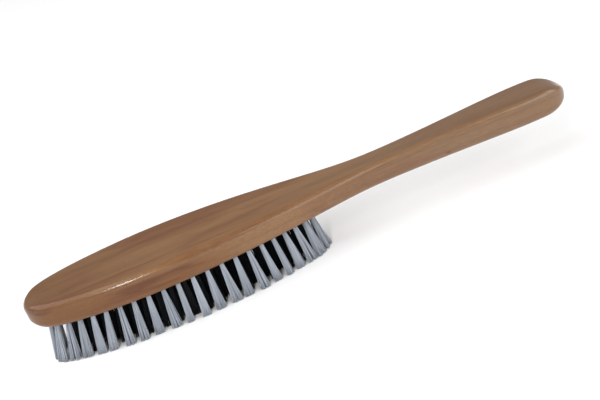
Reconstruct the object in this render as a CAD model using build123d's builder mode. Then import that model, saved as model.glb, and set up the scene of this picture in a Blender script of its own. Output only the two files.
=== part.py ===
from build123d import *

import os
from math import cos, hypot, pi, sin, sqrt

# Clothes brush: a one-piece lacquered wood stock with an oval head and a long flat handle, filled
# with staple-set tufts. A rim of white tufts surrounds rows of black ones.
#
# Units are millimetres. +X runs from the toe of the head to the end of the handle, +Z is up, and the
# brush stands on its trimmed bristle tips at z = 0, with x = 0 halfway along its length. Right and left
# are those of someone who holds the handle and points the head away, so right is +Y.

# Stock: the wood, from the toe to the end of the handle.
LENGTH = 362.0
BRISTLE_LENGTH = 29.0  # from the underside of the head to the trimmed tips
HEAD_THICKNESS = 17.3
NECK_THICKNESS = 15.7
GRIP_THICKNESS = 18.2
TOE_SLOPE = (10.0, 3.5)  # how long the back's rounded fall to the toe is, and how deep
END_SLOPE = (17.0, 9.0)  # the same at the end of the handle
TOE_LIFT = (14.0, 4.5)  # how long the underside's rounded rise to the toe is, and how high
END_LIFT = (16.0, 5.0)  # the same at the end of the handle
TOP_EDGE_RADIUS = 4.0
BOTTOM_EDGE_RADIUS = 4.5

# Half of the stock's width at each distance from the toe.
HALF_WIDTHS = [
    (1.6, 6.8),
    (7, 13.2),
    (20, 19.3),
    (45, 24.4),
    (80, 27.1),
    (121, 25.4),
    (161, 20.8),
    (194, 15.2),
    (221, 11.0),
    (251, 10.2),
    (301, 12.3),
    (337, 13.6),
    (351, 11.7),
    (360.2, 5.2),
]

# The stock's thickness at distances from the toe between its two sloping ends.
THICKNESSES = [
    (TOE_SLOPE[0], HEAD_THICKNESS),
    (70, HEAD_THICKNESS),
    (130, HEAD_THICKNESS - 0.2),
    (205, NECK_THICKNESS),
    (290, GRIP_THICKNESS - 0.8),
    (LENGTH - END_SLOPE[0], GRIP_THICKNESS),
]

# Tuft holes. The rim row is an ellipse and the rows inside it keep their distance from it.
RIM_TOE_INSET = 11.0
RIM_HALF_LENGTH = 86.4
RIM_HALF_WIDTH = 21.2
RIM_TUFTS = 43
RIM_END_CROWDING = 0.12  # how much closer than even the rim's tufts stand at the toe and the heel
RIM_HEEL_CROWDING = 0.025  # how much is added to that at the heel, and taken from it at the toe
ROW_GAP = 5.3
CENTRE_ROW = 4
LEAST_SPACING = 4.8  # a hole that would be closer than this to one already placed is left out
RIM_SIDE_HALF_LENGTH = 74.0  # of the stretch whose tufts count as the rim's two sides
FAN_HEIGHT = 450.0  # every hole points at one focus, this far above the underside of the head
FAN_FROM_TOE = 113.0

HOLE_RADIUS = 1.65
HOLE_DEPTH = 9.0
TUFT_CLEARANCE = 0.02
FLARE_START = 0.5  # how far outside its hole a tuft starts to spread
WHITE_TIP_RADII = (3.4, 2.0)  # along its row and across it
BLACK_TIP_RADII = (2.9, 2.2)

# Staple: the flat wire that each tuft is folded around. Its ends bite into the sides of the hole.
STAPLE_THICKNESS = 0.45
STAPLE_HEIGHT = 1.8
STAPLE_BITE = 0.4
FOLD_THICKNESS = 0.9  # of the folded bristles between the staple and the bottom of the hole

TOE_X = -LENGTH / 2
UNDERSIDE_Z = BRISTLE_LENGTH
RIM_CENTRE_X = TOE_X + RIM_TOE_INSET + RIM_HALF_LENGTH
FAN_FOCUS = Vector(TOE_X + FAN_FROM_TOE, 0, UNDERSIDE_Z + FAN_HEIGHT)
TUFT_ROOT_RADIUS = HOLE_RADIUS - TUFT_CLEARANCE
STAPLE_WIDTH = 2 * (HOLE_RADIUS + STAPLE_BITE)
STAPLE_DEPTH = HOLE_DEPTH - FOLD_THICKNESS - STAPLE_HEIGHT / 2


def make_stock(mouths):
    """The wood: sawn to its outline, its back shaped, its edges rounded, then drilled for tufts."""
    right_side = [(TOE_X + x, width) for x, width in HALF_WIDTHS]
    left_side = [(x, -width) for x, width in reversed(right_side)]
    back_line = [(TOE_X + x, UNDERSIDE_Z + thickness) for x, thickness in THICKNESSES]
    spare = 1.0  # how far the outline of the sides runs past the wood
    entry = 1.0  # how far outside the wood the drill starts
    with BuildPart() as stock:
        with BuildSketch(Plane.XY.offset(UNDERSIDE_Z - spare)):
            with BuildLine():
                Spline((TOE_X, 0), *right_side, (TOE_X + LENGTH, 0), *left_side, periodic=True)
            make_face()
        extrude(amount=2 * GRIP_THICKNESS)
        with BuildSketch(Plane.XZ.offset(-LENGTH / 8)):
            with BuildLine():
                back = Spline(*back_line, tangents=[(1, 0), (1, 0)])
                base = Line(
                    (TOE_X + TOE_LIFT[0], UNDERSIDE_Z),
                    (TOE_X + LENGTH - END_LIFT[0], UNDERSIDE_Z),
                )
                ends = ((0, -1, TOE_SLOPE, TOE_LIFT), (1, 1, END_SLOPE, END_LIFT))
                for at, way, (slope, fall), (lift, rise) in ends:
                    top = back @ at + Vector(way * (slope + spare), -fall)
                    bottom = base @ at + Vector(way * (lift + spare), rise)
                    TangentArc(back @ at, top, tangent=(way, 0))
                    TangentArc(base @ at, bottom, tangent=(way, 0))
                    Line(top, bottom)
            make_face()
        extrude(amount=LENGTH / 4, mode=Mode.INTERSECT)
        middle_z = UNDERSIDE_Z + NECK_THICKNESS / 2
        rim_edges = stock.edges().filter_by(GeomType.LINE, reverse=True)
        fillet(rim_edges.filter_by(lambda edge: edge.center().Z > middle_z), TOP_EDGE_RADIUS)
        rim_edges = stock.edges().filter_by(GeomType.LINE, reverse=True)
        fillet(rim_edges.filter_by(lambda edge: edge.center().Z < middle_z), BOTTOM_EDGE_RADIUS)
        with Locations(*[mouth.offset(entry).location for mouth in mouths]):
            Hole(HOLE_RADIUS, HOLE_DEPTH + entry)
        with Locations(*[mouth.offset(-STAPLE_DEPTH).location for mouth in mouths]):
            Box(STAPLE_THICKNESS, STAPLE_WIDTH, STAPLE_HEIGHT, mode=Mode.SUBTRACT)
    return stock


def make_tuft(tip_radii):
    """A tuft before it is trimmed: round in its hole, then spreading along its row to its tips."""
    length = BRISTLE_LENGTH + 3.0  # with some to trim off
    growth = (length - FLARE_START) / (BRISTLE_LENGTH - FLARE_START)
    end_radii = [TUFT_ROOT_RADIUS + growth * (radius - TUFT_ROOT_RADIUS) for radius in tip_radii]
    with BuildPart() as tuft:
        with Locations((0, 0, FLARE_START)):
            Cylinder(
                TUFT_ROOT_RADIUS,
                HOLE_DEPTH - TUFT_CLEARANCE + FLARE_START,
                align=(Align.CENTER, Align.CENTER, Align.MAX),
            )
        with BuildSketch(Plane.XY.offset(FLARE_START)):
            Circle(TUFT_ROOT_RADIUS)
        with BuildSketch(Plane.XY.offset(length)):
            Ellipse(*end_radii)
        loft()
        with Locations((0, 0, -STAPLE_DEPTH)):
            Box(STAPLE_THICKNESS, STAPLE_WIDTH, STAPLE_HEIGHT, mode=Mode.SUBTRACT)
    return tuft


def make_tufts(mouths, tip_radii):
    """One tuft in each hole of a row, all trimmed to one plane."""
    tuft = make_tuft(tip_radii)
    with BuildPart() as tufts:
        with Locations(*[mouth.location for mouth in mouths]):
            add(tuft.part)
        split(bisect_by=Plane.XY, keep=Keep.TOP)
    return tufts


def make_staples(mouths):
    """The flat wire staples of a row, near the bottoms of their holes and square to the row."""
    with BuildPart() as staples:
        with Locations(*[mouth.offset(-STAPLE_DEPTH).location for mouth in mouths]):
            Box(STAPLE_THICKNESS, STAPLE_WIDTH, STAPLE_HEIGHT)
    return staples


def mouth_plane(x, y, row_way):
    """The plane at a hole's mouth: its normal is the tuft's way out, and its x follows the row."""
    mouth = Vector(x, y, UNDERSIDE_Z)
    way_out = (mouth - FAN_FOCUS).normalized()
    across_row = way_out.cross(row_way).normalized()
    return Plane(mouth, x_dir=across_row.cross(way_out), z_dir=way_out)


def rim_curve(points=36):
    """The rim's ellipse, from the middle of the heel round by the right side."""
    turns = [2 * pi * i / points for i in range(points)]
    ellipse = [
        (RIM_CENTRE_X + RIM_HALF_LENGTH * cos(turn), RIM_HALF_WIDTH * sin(turn)) for turn in turns
    ]
    return Edge.make_spline([Vector(x, y) for x, y in ellipse], periodic=True)


def rim_row():
    """The mouths of the rim's holes, closer together at its ends, one at the very front of the toe."""
    rim = rim_curve()
    mouths = []
    for i in range(RIM_TUFTS):
        even = 2 * pi * (i + 0.5) / RIM_TUFTS
        crowding = RIM_END_CROWDING * sin(2 * even) / 2 + RIM_HEEL_CROWDING * sin(even)
        share = (even - crowding) / (2 * pi)
        point = rim.position_at(share)
        mouths.append(mouth_plane(point.X, point.Y, rim.tangent_at(share)))
    return mouths


def inside_row(row, placed):
    """The mouths of the rows at both sides that run row gaps inside the rim.

    Each row is staggered with the next one, and the outer one is nearly so with the rim. The last row
    meets its mirror image in the middle of the head and is a single one.
    """
    pitch = rim_curve().length / RIM_TUFTS
    shift = 0.75 if row % 2 else 0.25
    count = int(RIM_HALF_LENGTH / pitch)
    mouths = []
    for i in range(-count, count):
        x = (i + shift) * pitch
        rim_y = RIM_HALF_WIDTH * sqrt(1 - (x / RIM_HALF_LENGTH) ** 2)
        slope = -x * RIM_HALF_WIDTH**2 / (rim_y * RIM_HALF_LENGTH**2)
        y = rim_y - row * ROW_GAP * hypot(1, slope)
        if row == CENTRE_ROW:
            sides = [(0, 0)]
        elif y > ROW_GAP / 2:
            sides = [(y, slope), (-y, -slope)]
        else:
            sides = []
        new = [mouth_plane(RIM_CENTRE_X + x, y, Vector(1, slope, 0)) for y, slope in sides]
        mouths += [mouth for mouth in new if is_clear(mouth, placed)]
    return mouths


def is_clear(mouth, placed):
    """Whether a hole is far enough from the holes that are already placed."""
    return all((mouth.origin - other.origin).length > LEAST_SPACING for other in placed)


rim = rim_row()
outer = inside_row(1, rim)
middle = inside_row(2, rim + outer)
inner = inside_row(3, rim + outer + middle)
centre = inside_row(CENTRE_ROW, rim + outer + middle + inner)

rim_toe = [mouth for mouth in rim if mouth.origin.X < RIM_CENTRE_X - RIM_SIDE_HALF_LENGTH]
rim_heel = [mouth for mouth in rim if mouth.origin.X > RIM_CENTRE_X + RIM_SIDE_HALF_LENGTH]
rim_sides = [mouth for mouth in rim if abs(mouth.origin.X - RIM_CENTRE_X) <= RIM_SIDE_HALF_LENGTH]

white_rows = {"rim_toe": rim_toe, "rim_heel": rim_heel}
black_rows = {"centre": centre}
for side, sign in (("right", 1), ("left", -1)):
    white_rows[f"rim_{side}"] = [mouth for mouth in rim_sides if mouth.origin.Y * sign > 0]
    for name, row in (("outer", outer), ("middle", middle), ("inner", inner)):
        black_rows[f"{name}_{side}"] = [mouth for mouth in row if mouth.origin.Y * sign > 0]

os.makedirs("parts", exist_ok=True)

stock = make_stock(rim + outer + middle + inner + centre)
stock.part.label = "stock"
export_step(stock.part, "parts/stock.step")

for rows, tip_radii in ((white_rows, WHITE_TIP_RADII), (black_rows, BLACK_TIP_RADII)):
    for name, mouths in rows.items():
        tufts = make_tufts(mouths, tip_radii)
        tufts.part.label = f"{name}_tufts"
        export_step(tufts.part, f"parts/{name}_tufts.step")
        staples = make_staples(mouths)
        staples.part.label = f"{name}_staples"
        export_step(staples.part, f"parts/{name}_staples.step")
        print(f"{name}: {len(mouths)} tufts")
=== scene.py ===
"""Looks of the clothes brush: lacquered wood, nylon bristles one by one, light, floor and camera.

Every length is in metres, in the frame of the CAD model: +X from the toe of the head to the end of
the handle, +Z up, with the trimmed bristle tips at z = 0. The right side of the brush is +Y.
"""

from math import cos, pi, radians, sin

import bpy
import numpy as np
from mathutils import Matrix, Vector


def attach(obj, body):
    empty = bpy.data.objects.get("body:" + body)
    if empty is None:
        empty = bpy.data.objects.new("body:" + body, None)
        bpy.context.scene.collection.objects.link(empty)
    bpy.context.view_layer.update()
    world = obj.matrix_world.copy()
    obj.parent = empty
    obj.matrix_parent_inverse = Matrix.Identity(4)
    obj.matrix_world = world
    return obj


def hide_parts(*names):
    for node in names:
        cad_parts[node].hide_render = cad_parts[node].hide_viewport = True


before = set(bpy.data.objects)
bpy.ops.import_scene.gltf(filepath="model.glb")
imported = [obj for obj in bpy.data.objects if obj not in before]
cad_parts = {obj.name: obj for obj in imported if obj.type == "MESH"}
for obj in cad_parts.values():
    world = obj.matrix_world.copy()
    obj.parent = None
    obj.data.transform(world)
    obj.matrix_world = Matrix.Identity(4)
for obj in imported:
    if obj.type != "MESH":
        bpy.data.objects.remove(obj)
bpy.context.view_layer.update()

MM = 0.001

# Camera: it looks at the middle of the brush from the left side, rolled so that the handle rises.
CAMERA_TARGET = Vector((-0.0007, -0.0032, 0.0382))
CAMERA_DISTANCE = 0.711
CAMERA_AZIMUTH = -5.5  # in degrees, like every other angle
CAMERA_ELEVATION = 29.2
CAMERA_ROLL = 20.05
CAMERA_LENS = 69.0
CAMERA_SENSOR = 36.0

# Light and floor.
WORLD_BRIGHTNESS = 0.43
FLOOR_SIZE = 30.0
FLOOR_Z = -0.2 * MM  # a hair under the tips, so that no bristle cuts it

# Wood: colours, and where along and up the brush they change.
HEARTWOOD = (0.160, 0.075, 0.029)  # at the toe
SAPWOOD = (0.205, 0.103, 0.043)
PALE_WOOD = (0.176, 0.095, 0.046)  # at the grip
FLAME = (0.132, 0.046, 0.016)
RED_WOOD = (0.148, 0.057, 0.014)
# The deepest red is red wood darkened by painted shade, in a band just below the back's edge.
DEEP_RED_AND_SHADE = (0.096, 0.027, 0.006)
RING = (0.10, 0.045, 0.018)
KNOT = (0.075, 0.028, 0.014)
TOE_TO_GRIP = (-0.17, 0.10)  # where the heartwood ends and where the palest wood begins
RED_LAYER_X = (-0.04, -0.08)  # the red layer, low in the head, comes in between these
RED_LAYER_Z = (0.0462, 0.0432)  # and between these heights, before the wave lowers its edge
RED_LAYER_WAVE = 4 * MM
DEEP_RED_AND_SHADE_Z = (0.0425, 0.0355)  # its red, darkened by painted shade, is deepest at the first of these heights, just below the back's edge
THIN_LACQUER_X = (-0.06, 0.08)  # the lacquer is thinnest at the first of these, towards the toe
KNOT_PLACE = (0.096, -0.0105, 0.033)  # low on the left side of the grip
KNOT_SIZE = (0.6 * MM, 2.6 * MM)  # the radii of its core and of its edge, along the grain
KNOT_STRETCH = 2.0  # how many times longer it is along the grain than across it

# Bristle colours, darkest and lightest.
WHITE_NYLON = ((0.31, 0.34, 0.39), (0.38, 0.41, 0.46))
BLACK_NYLON = ((0.003, 0.0035, 0.0055), (0.0075, 0.008, 0.0105))

# Tufts: the sizes that they share with the CAD's holes and staples, and how the bristles lie in them.
HOLE_RADIUS = 1.65 * MM
STAPLE_TO_MOUTH = 7.2 * MM
STAPLE_HALF_HEIGHT = 0.9 * MM
STAPLE_HALF_THICKNESS = 0.23 * MM
STAPLE_VERTICES = 24  # four on each of a staple's six faces
FOLD_ROOM = 0.85 * MM  # below the staple
BRISTLES_FOLDED = 44  # in each tuft, so twice as many ends
BRISTLE_RADIUS = 0.15 * MM
BRISTLE_SIDES = 5
WALL_GAP = 1.3 * BRISTLE_RADIUS  # between a bristle's centre line and the wall of its hole
FILLED_WIDTH = 0.92  # of the hole, along the staple
LEAST_SIDE_ROOM = 1.3  # beside the staple, as a multiple of the closest that a centre line comes to it
CLOSING = 0.6  # of that closest distance, by which the legs close up above the staple
LEG_SHARES = (0.75, 0.5, 0.25, 0.08)  # where a leg bends, from 0 at the mouth to 1 at the tip
GATHERED_HEIGHT = 0.85 * STAPLE_TO_MOUTH  # above the staple's middle, where a leg starts to spread
BESIDE_STAPLE = (1.6 * STAPLE_HALF_HEIGHT, -0.8 * STAPLE_HALF_HEIGHT)  # where a leg runs beside it
WHITE_TIP_SIZE = (3.3 * MM, 1.4 * MM)  # half of a tuft's length along its row, and across it
END_TIP_SIZE = (4.1 * MM, 1.9 * MM)  # of the white tufts that fan out round the toe and the heel
BLACK_TIP_SIZE = (3.3 * MM, 2.0 * MM)
TIP_SIZE_RANGES = ((0.8, 1.2), (0.9, 1.1))  # from tuft to tuft, along the row and across it
LEAN = (0.6 * MM, 0.3 * MM)  # how far the tips of a whole tuft stray along the row and across it
SCATTER = 0.07  # of single tips, as a share of the tuft's size
BOW = 0.1 * MM  # of single bristles
TRIM_UNEVENNESS = 0.12 * MM

rng = np.random.default_rng(20)


# ---------------------------------------------------------------- camera, light and floor


def direction(azimuth, elevation):
    """The unit vector away from the brush. Azimuth 0 is -Y, the left side, and azimuth 90 is +X."""
    turn = radians(azimuth)
    rise = radians(elevation)
    return Vector((sin(turn) * cos(rise), -cos(turn) * cos(rise), sin(rise)))


def add_camera():
    """The camera, with its axes worked out from azimuth, elevation and roll."""
    back = direction(CAMERA_AZIMUTH, CAMERA_ELEVATION)
    right = direction(CAMERA_AZIMUTH + 90, 0)
    axes = Matrix((right, back.cross(right), back)).transposed()
    rolled = axes @ Matrix.Rotation(-radians(CAMERA_ROLL), 3, "Z")
    data = bpy.data.cameras.new("camera")
    data.lens = CAMERA_LENS
    data.sensor_width = CAMERA_SENSOR
    data.clip_start = 0.01
    camera = bpy.data.objects.new("camera", data)
    camera.matrix_world = Matrix.Translation(CAMERA_TARGET + CAMERA_DISTANCE * back) @ rolled.to_4x4()
    bpy.context.scene.collection.objects.link(camera)
    bpy.context.scene.camera = camera


def add_softbox(name, azimuth, elevation, distance, width, height, radiance):
    """An area light that faces the middle of the brush from the given side."""
    data = bpy.data.lights.new(name, "AREA")
    data.shape = "RECTANGLE"
    data.size = width
    data.size_y = height
    data.energy = radiance * pi * width * height
    light = bpy.data.objects.new(name, data)
    way = direction(azimuth, elevation)
    light.location = CAMERA_TARGET + distance * way
    light.rotation_euler = way.to_track_quat("Z", "Y").to_euler()
    bpy.context.scene.collection.objects.link(light)


def add_lights():
    """Even light from all round, two softboxes and a small lamp that makes the highlight."""
    world = bpy.data.worlds.new("studio")
    world.use_nodes = True
    background = world.node_tree.nodes["Background"]
    background.inputs["Color"].default_value = (1.0, 1.0, 1.0, 1.0)
    background.inputs["Strength"].default_value = WORLD_BRIGHTNESS
    bpy.context.scene.world = world
    bpy.context.scene.view_settings.view_transform = "Standard"
    add_softbox("left", azimuth=-90, elevation=50, distance=2.2, width=2.5, height=2.5, radiance=2.05)
    add_softbox("right", azimuth=50, elevation=26, distance=2.2, width=2.8, height=1.8, radiance=2.45)
    add_softbox("lamp", azimuth=-22, elevation=40, distance=1.245, width=0.13, height=0.5, radiance=28.0)


def add_floor():
    """A wide pale floor under the tips of the bristles."""
    mesh = bpy.data.meshes.new("floor")
    half = FLOOR_SIZE / 2
    corners = [(-half, -half, 0), (half, -half, 0), (half, half, 0), (-half, half, 0)]
    mesh.from_pydata(corners, [], [(0, 1, 2, 3)])
    floor = bpy.data.objects.new("floor", mesh)
    floor.location.z = FLOOR_Z
    bpy.context.scene.collection.objects.link(floor)
    material = new_material("pale_floor")
    shader = material.node_tree.nodes["Principled BSDF"]
    shader.inputs["Base Color"].default_value = (0.93, 0.93, 0.93, 1.0)
    shader.inputs["Roughness"].default_value = 0.9
    mesh.materials.append(material)


# ---------------------------------------------------------------- materials


def new_material(name):
    """A material with Blender's usual shader and nothing else."""
    material = bpy.data.materials.new(name)
    material.use_nodes = True
    return material


class Nodes:
    """Short ways to add and join the nodes of one material."""

    def __init__(self, material):
        self.tree = material.node_tree
        self.shader = self.tree.nodes["Principled BSDF"]

    def add(self, kind, **settings):
        """A new node with the given settings."""
        node = self.tree.nodes.new(kind)
        for name, value in settings.items():
            setattr(node, name, value)
        return node

    def join(self, output, socket):
        """A link from one node's output to another's input."""
        self.tree.links.new(output, socket)

    def place(self, scale, shift=(0.0, 0.0, 0.0)):
        """The object's own coordinates, multiplied by scale and moved to another part of a pattern."""
        coordinates = self.add("ShaderNodeTexCoord")
        mapping = self.add("ShaderNodeMapping")
        mapping.inputs["Scale"].default_value = scale
        mapping.inputs["Location"].default_value = shift
        self.join(coordinates.outputs["Object"], mapping.inputs["Vector"])
        return mapping.outputs["Vector"]

    def noise(self, vector, detail=2.0, roughness=0.5, distortion=0.0):
        """Noise whose size is set by the vector's scale."""
        node = self.add("ShaderNodeTexNoise")
        node.inputs["Scale"].default_value = 1.0
        node.inputs["Detail"].default_value = detail
        node.inputs["Roughness"].default_value = roughness
        node.inputs["Distortion"].default_value = distortion
        self.join(vector, node.inputs["Vector"])
        return node.outputs["Fac"]

    def ramp(self, value, stops):
        """A colour ramp with the given (position, colour) stops."""
        node = self.add("ShaderNodeValToRGB")
        elements = node.color_ramp.elements
        while len(elements) < len(stops):
            elements.new(0.5)
        for element, (position, colour) in zip(elements, stops):
            element.position = position
            element.color = (*colour, 1.0)
        self.join(value, node.inputs["Fac"])
        return node.outputs["Color"]

    def spread(self, value, low, high, to_low=0.0, to_high=1.0):
        """A value mapped from one range to another, and kept inside it."""
        node = self.add("ShaderNodeMapRange")
        limits = {"From Min": low, "From Max": high, "To Min": to_low, "To Max": to_high}
        for name, number in limits.items():
            node.inputs[name].default_value = number
        self.join(value, node.inputs["Value"])
        return node.outputs["Result"]

    def maths(self, operation, *values):
        """The result of one operation. Each value may be a socket or a number."""
        node = self.add("ShaderNodeMath", operation=operation)
        for socket, value in zip(node.inputs, values):
            if isinstance(value, (int, float)):
                socket.default_value = value
            else:
                self.join(value, socket)
        return node.outputs["Value"]

    def mix(self, factor, first, second, blend="MIX"):
        """Two colours mixed by a factor. Each may be a socket or a plain value."""
        node = self.add("ShaderNodeMix", data_type="RGBA", blend_type=blend)
        sockets = [socket for socket in node.inputs if socket.type == "RGBA"]
        for socket, value in zip([node.inputs["Factor"], *sockets], (factor, first, second)):
            if isinstance(value, (int, float)):
                socket.default_value = value
            elif isinstance(value, tuple):
                socket.default_value = (*value, 1.0)
            else:
                self.join(value, socket)
        return next(socket for socket in node.outputs if socket.type == "RGBA")

    def bump(self, height, distance):
        """Small relief on the surface."""
        node = self.add("ShaderNodeBump")
        node.inputs["Strength"].default_value = 1.0
        node.inputs["Distance"].default_value = distance
        self.join(height, node.inputs["Height"])
        self.join(node.outputs["Normal"], self.shader.inputs["Normal"])


def wood_tone(n, x, drift, flames):
    """The wood's broad colour along the brush, with redder flames that fade towards the grip."""
    along = n.spread(x, *TOE_TO_GRIP)
    tone = n.maths("ADD", along, n.spread(drift, 0.3, 0.7, -0.25, 0.25))
    base = n.ramp(tone, [(0.0, HEARTWOOD), (0.5, SAPWOOD), (1.0, PALE_WOOD)])
    fading = n.spread(along, 0.2, 1.0, 0.8, 0.25)
    return n.mix(n.maths("MULTIPLY", n.spread(flames, 0.48, 0.66), fading), base, FLAME)


def red_layer_share(n, x, z, drift):
    """How much of the red layer, with its painted shade, shows: it lies under the back, near the toe,
    with a wavy upper edge.
    """
    wavy_z = n.maths("MULTIPLY_ADD", drift, RED_LAYER_WAVE, z)
    near_toe = n.spread(x, *RED_LAYER_X, 0.0, 0.9)
    return n.maths("MULTIPLY", n.spread(wavy_z, *RED_LAYER_Z), near_toe)


def red_layer_and_shade(n, z, flames):
    """The red layer's colour: red wood with painted shade that makes it deepest and darkest at its top,
    just below the back's edge.
    """
    redness_and_shade = n.maths("ADD", flames, n.spread(z, *DEEP_RED_AND_SHADE_Z, 0.07, -0.15))
    return n.ramp(redness_and_shade, [(0.42, RED_WOOD), (0.56, DEEP_RED_AND_SHADE)])


def ring_share(n):
    """How much of the growth rings' dark lines shows."""
    rings = n.add("ShaderNodeTexWave", wave_type="RINGS", rings_direction="X")
    rings.inputs["Scale"].default_value = 1.0
    rings.inputs["Distortion"].default_value = 3.5
    rings.inputs["Detail"].default_value = 3.0
    rings.inputs["Detail Scale"].default_value = 0.5
    n.join(n.place((5.0, 48.0, 48.0), shift=(0.0, 3.0, 6.0)), rings.inputs["Vector"])
    return n.spread(rings.outputs["Fac"], 0.6, 1.0, 0.0, 0.2)


def grain_shade(n, fibres):
    """The light and dark of the wood's fine fibres and pores, as a grey to multiply by."""
    pores = n.noise(n.place((190.0, 3600.0, 3600.0), shift=(3.0, 1.0, 5.0)), detail=1.0)
    lightness = n.spread(fibres, 0.35, 0.7, 0.88, 1.1)
    shade = n.maths("MULTIPLY", lightness, n.spread(pores, 0.62, 0.72, 1.0, 0.75))
    grey = n.add("ShaderNodeCombineColor")
    for channel in ("Red", "Green", "Blue"):
        n.join(shade, grey.inputs[channel])
    return grey.outputs["Color"]


def knot_share(n):
    """How much of the small pin knot shows."""
    scale = Vector((1.0, KNOT_STRETCH, KNOT_STRETCH))
    from_knot = n.add("ShaderNodeVectorMath", operation="DISTANCE")
    n.join(n.place(scale), from_knot.inputs[0])
    from_knot.inputs[1].default_value = scale * Vector(KNOT_PLACE)
    return n.spread(from_knot.outputs["Value"], *KNOT_SIZE, 0.75, 0.0)


def lacquered_wood():
    """Light brown fine-grained wood under clear lacquer, its grain along the brush."""
    material = new_material("lacquered_wood")
    n = Nodes(material)
    place = n.add("ShaderNodeSeparateXYZ")
    n.join(n.place((1.0, 1.0, 1.0)), place.inputs["Vector"])
    x = place.outputs["X"]
    z = place.outputs["Z"]
    drift = n.noise(n.place((7.0, 45.0, 45.0)))
    flames = n.noise(n.place((11.0, 75.0, 110.0), shift=(0.4, 2.2, 0.7)), detail=3.0, distortion=0.6)
    fibres = n.noise(n.place((45.0, 2200.0, 2200.0)), roughness=0.6)
    tone = wood_tone(n, x, drift, flames)
    layered = n.mix(red_layer_share(n, x, z, drift), tone, red_layer_and_shade(n, z, flames))
    ringed = n.mix(ring_share(n), layered, RING)
    grained = n.mix(1.0, ringed, grain_shade(n, fibres), "MULTIPLY")
    n.join(n.mix(knot_share(n), grained, KNOT), n.shader.inputs["Base Color"])
    n.join(n.spread(fibres, 0.3, 0.7, 0.42, 0.55), n.shader.inputs["Roughness"])
    n.join(n.spread(x, *THIN_LACQUER_X, 0.7, 1.0), n.shader.inputs["Coat Weight"])
    n.shader.inputs["Specular IOR Level"].default_value = 0.05
    n.shader.inputs["Coat Roughness"].default_value = 0.17
    n.bump(fibres, 0.01 * MM)
    return material


def nylon(name, colours, shine):
    """Drawn nylon: bristles that differ a little from one to the next."""
    dark, light = colours
    material = new_material(name)
    n = Nodes(material)
    patches = n.noise(n.place((900.0, 900.0, 60.0)))
    n.join(n.ramp(patches, [(0.35, dark), (0.65, light)]), n.shader.inputs["Base Color"])
    n.shader.inputs["Roughness"].default_value = 0.4
    n.shader.inputs["Specular IOR Level"].default_value = shine
    return material


def drawn_wire():
    """Flat steel wire with fine lines along its length, which lies across the brush."""
    dark = (0.42, 0.42, 0.41)
    light = (0.62, 0.62, 0.60)
    material = new_material("drawn_wire")
    n = Nodes(material)
    lines = n.noise(n.place((9000.0, 300.0, 9000.0)))
    n.join(n.ramp(lines, [(0.3, dark), (0.7, light)]), n.shader.inputs["Base Color"])
    n.join(n.spread(lines, 0.3, 0.7, 0.25, 0.45), n.shader.inputs["Roughness"])
    n.shader.inputs["Metallic"].default_value = 1.0
    return material


# ---------------------------------------------------------------- bristles


def staple_corners(node):
    """The corners of each staple of a CAD node, from the toe of the brush to the heel."""
    points = np.array([vertex.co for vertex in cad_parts[node].data.vertices])
    staples = points.reshape(-1, STAPLE_VERTICES, 3)
    return sorted(staples, key=lambda corners: tuple(corners.mean(axis=0)))


def tuft_axes(corners):
    """A tuft's own directions: along its row, across it, and out of its hole.

    They are the directions of its staple, which is thinnest along the row and widest across it.
    """
    across, out, _ = np.linalg.svd(corners - corners.mean(axis=0))[2]
    out = -out * np.sign(out[2])
    return np.array((np.cross(across, out), across, out))


def squared(points):
    """Points of a round patch, moved outwards to fill the square round it."""
    size = np.linalg.norm(points, axis=1, keepdims=True)
    return points * size / np.abs(points).max(axis=1, keepdims=True)


def local(flat, height):
    """Points given along and across the row, at a height above the staple's middle."""
    return np.column_stack([flat, np.broadcast_to(height, len(flat))])


def leg_points(tip, mouth, beside, bow, to_tips):
    """The points of one leg of every bristle in a tuft, from its tip to the side of the staple."""
    points = [local(tip, to_tips)]
    for share in LEG_SHARES:
        flat = mouth + (tip - mouth) * share + bow * sin(pi * share)
        points.append(local(flat, STAPLE_TO_MOUTH + (to_tips - STAPLE_TO_MOUTH) * share))
    points.append(local(mouth, GATHERED_HEIGHT))
    points += [local(beside, height) for height in BESIDE_STAPLE]
    return points


def trimmed(paths, way_out):
    """Bristles whose ends are moved along their tuft to the trim line, give or take a little."""
    trim = rng.uniform(0.0, TRIM_UNEVENNESS, (len(paths), 2))
    for end in (0, -1):
        paths[:, end] += way_out * (trim[:, end] - paths[:, end, 2])[:, None] / way_out[2]
    return paths


def folded_bristles(corners, tip_size):
    """The centre lines of one tuft's bristles, each from one tip round the staple to the other tip."""
    count = BRISTLES_FOLDED
    axes = tuft_axes(corners)
    centre = corners.mean(axis=0)
    to_tips = -centre[2] / axes[2][2]
    room = HOLE_RADIUS - WALL_GAP
    across = room * rng.uniform(-FILLED_WIDTH, FILLED_WIDTH, count)
    half_chord = np.sqrt(room**2 - across**2)
    closest = STAPLE_HALF_THICKNESS + BRISTLE_RADIUS
    depth = rng.uniform(0.0, 1.0, count)
    side = closest + (np.maximum(half_chord, LEAST_SIDE_ROOM * closest) - closest) * depth
    lean = rng.normal(0.0, 1.0, 2) * LEAN
    reach = np.array(tip_size) * [rng.uniform(*sizes) for sizes in TIP_SIZE_RANGES]
    legs = []
    for sign in (1.0, -1.0):
        beside = np.stack([sign * side, across], axis=1)
        mouth = np.stack([sign * (side - CLOSING * closest), across], axis=1)
        share_of_room = squared(mouth / room) + rng.normal(0.0, SCATTER, (count, 2))
        tip = reach * np.clip(share_of_room, -1.0, 1.0) + lean
        bow = rng.normal(0.0, BOW, (count, 2))
        legs.append(leg_points(tip, mouth, beside, bow, to_tips))
    below = -STAPLE_HALF_HEIGHT - BRISTLE_RADIUS - (FOLD_ROOM - 2 * BRISTLE_RADIUS) * depth
    fold = local(np.stack([np.zeros(count), across], axis=1), below)
    line = np.stack([*legs[0], fold, *reversed(legs[1])], axis=1)
    return trimmed(centre + line @ axes, axes[2])


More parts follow.
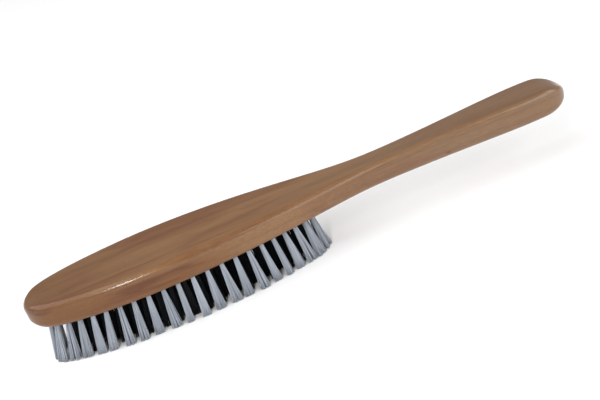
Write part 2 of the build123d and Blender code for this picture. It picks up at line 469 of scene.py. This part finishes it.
def tube_mesh(name, paths, radius, sides):
    """One mesh of round rods that follow the given centre lines, closed at both ends."""
    count, steps, _ = paths.shape
    way = np.gradient(paths, axis=1)
    way /= np.linalg.norm(way, axis=2, keepdims=True)
    first = np.cross(way, (0.0, 1.0, 0.0))
    first /= np.linalg.norm(first, axis=2, keepdims=True)
    second = np.cross(way, first)
    turns = 2 * pi * np.arange(sides) / sides
    ring = first[:, :, None] * np.cos(turns)[:, None] + second[:, :, None] * np.sin(turns)[:, None]
    points = (paths[:, :, None] + radius * ring).reshape(-1, 3)
    around = np.arange(sides)
    after = (around + 1) % sides
    quad = np.stack([around, after, after + sides, around + sides], axis=1)
    rod = (quad[None] + sides * np.arange(steps - 1)[:, None, None]).reshape(-1, 4)
    starts = steps * sides * np.arange(count)
    walls = (rod[None] + starts[:, None, None]).reshape(-1, 4).tolist()
    caps = [(start + around[::-1]).tolist() for start in starts]
    caps += [(start + around + sides * (steps - 1)).tolist() for start in starts]
    mesh = bpy.data.meshes.new(name)
    mesh.from_pydata(points.tolist(), [], walls + caps)
    mesh.shade_smooth()
    return mesh


def make_bristles(row, tip_size, material):
    """The bristles of one row of tufts, which stand for the CAD's plain tufts."""
    tufts = [folded_bristles(corners, tip_size) for corners in staple_corners(f"{row}_staples")]
    mesh = tube_mesh(f"{row}_bristles", np.concatenate(tufts), BRISTLE_RADIUS, BRISTLE_SIDES)
    mesh.materials.append(material)
    bristles = bpy.data.objects.new(f"{row}_bristles", mesh)
    bpy.context.scene.collection.objects.link(bristles)
    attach(bristles, "root")
    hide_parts(f"{row}_tufts")


def dress(node, material):
    """A CAD node with a new material on all of its faces."""
    node.data.materials.clear()
    node.data.materials.append(material)


add_camera()
add_lights()
add_floor()

wire = drawn_wire()
white = nylon("white_nylon", WHITE_NYLON, shine=0.4)
black = nylon("black_nylon", BLACK_NYLON, shine=0.15)
dress(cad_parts["stock"], lacquered_wood())
for node_name in sorted(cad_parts):
    if node_name.endswith("_staples"):
        dress(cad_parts[node_name], wire)
        row_name = node_name.removesuffix("_staples")
        if row_name in ("rim_toe", "rim_heel"):
            make_bristles(row_name, END_TIP_SIZE, white)
        elif row_name.startswith("rim"):
            make_bristles(row_name, WHITE_TIP_SIZE, white)
        else:
            make_bristles(row_name, BLACK_TIP_SIZE, black)
